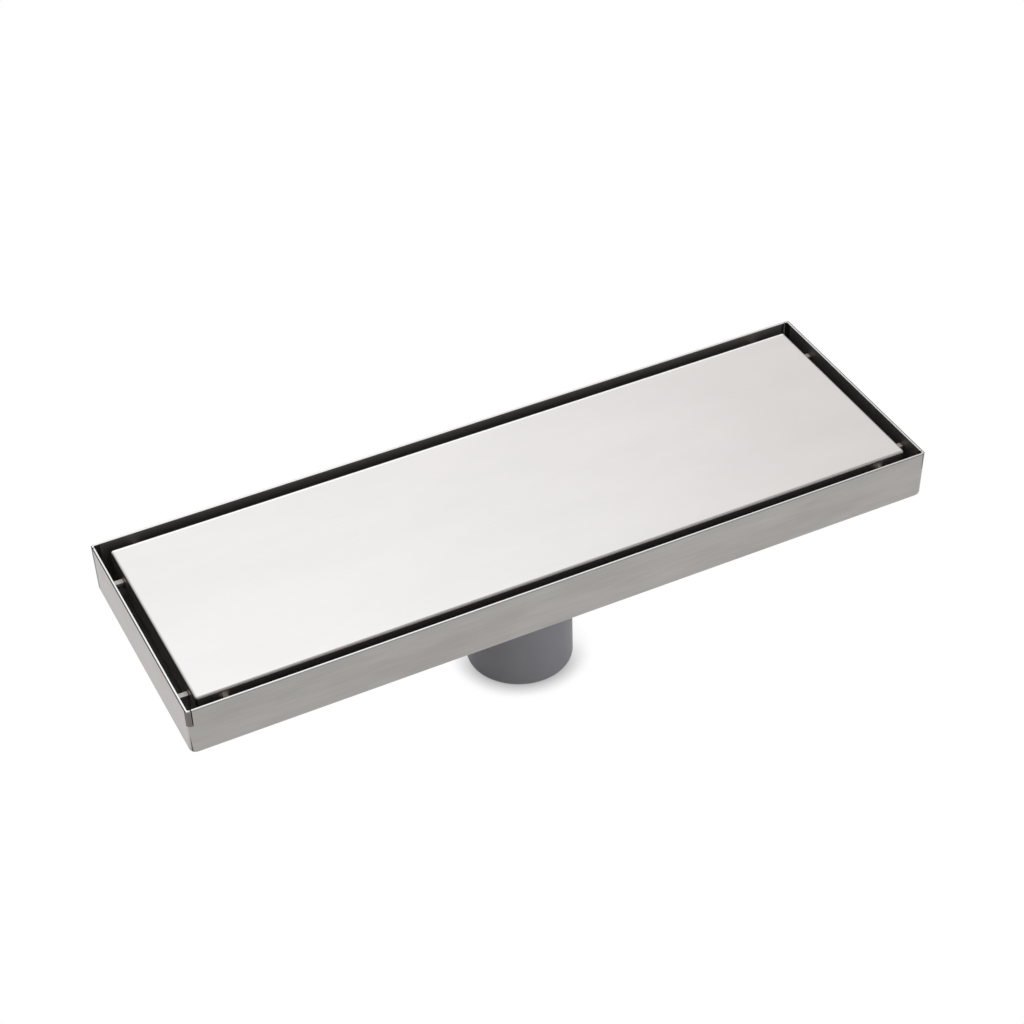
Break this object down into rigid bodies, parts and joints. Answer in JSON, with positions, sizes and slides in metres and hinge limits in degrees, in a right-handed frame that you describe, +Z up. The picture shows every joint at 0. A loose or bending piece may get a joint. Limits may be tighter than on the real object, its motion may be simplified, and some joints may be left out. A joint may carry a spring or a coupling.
{
  "type": "linear floor drain",
  "caption": "Shallow folded steel channel drain with a flat drop-in cover, an even slot round it, spacer tongues, a drop-in odour trap and a round plastic outlet spigot.",
  "frame": {"origin": "middle of the spigot's open end, on the surface that the drain stands on", "axes": "+X along the drain's length, +Y from its front to its back, +Z up"},
  "size_m": [0.3, 0.1, 0.076],
  "materials": {
    "tray_steel": "satin brushed stainless sheet",
    "cover_steel": "fine satin stainless sheet",
    "rest_steel": "mill finish stainless strip",
    "strainer_steel": "pressed stainless sheet",
    "spigot_plastic": "grey moulded plastic with a soft sheen",
    "trap_plastic": "off-white moulded plastic",
    "washer_plastic": "natural slippery plastic",
    "seal_rubber": "black moulded rubber"
  },
  "bodies": {
    "root": {"tray": "tray_steel", "cover_panel": "cover_steel", "cover_rest_front_left": "rest_steel", "cover_rest_front_right": "rest_steel", "cover_rest_back_left": "rest_steel", "cover_rest_back_right": "rest_steel", "outlet_spigot": "spigot_plastic", "flange_gasket": "seal_rubber", "slip_washer": "washer_plastic", "lock_nut": "spigot_plastic", "trap_insert": "trap_plastic", "trap_o_ring": "seal_rubber", "trap_cup": "trap_plastic", "hair_strainer": "strainer_steel"}
  },
  "joints": []
}
